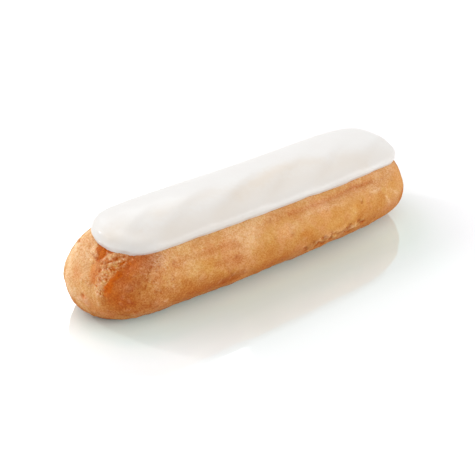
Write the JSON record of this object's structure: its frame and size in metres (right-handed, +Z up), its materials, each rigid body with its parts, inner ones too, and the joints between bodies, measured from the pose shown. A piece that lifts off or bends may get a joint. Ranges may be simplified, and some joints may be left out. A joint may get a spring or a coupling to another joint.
{
  "type": "vanilla eclair",
  "caption": "Long baked choux bun with blunt rounded ends, a folded near tip and a flat base, its top dipped in smooth white fondant icing.",
  "frame": {"origin": "on the flat base, under the middle of the whole", "axes": "+X along the bun, from its folded end to its smoother end; +Y across it; +Z up through the icing"},
  "size_m": [0.14, 0.0466, 0.0324],
  "materials": {
    "crust": "golden-brown baked choux crust, satin with fine pores",
    "icing": "smooth white fondant icing, soft gloss"
  },
  "bodies": {
    "root": {"choux_bun": "crust", "white_icing": "icing"}
  },
  "joints": []
}
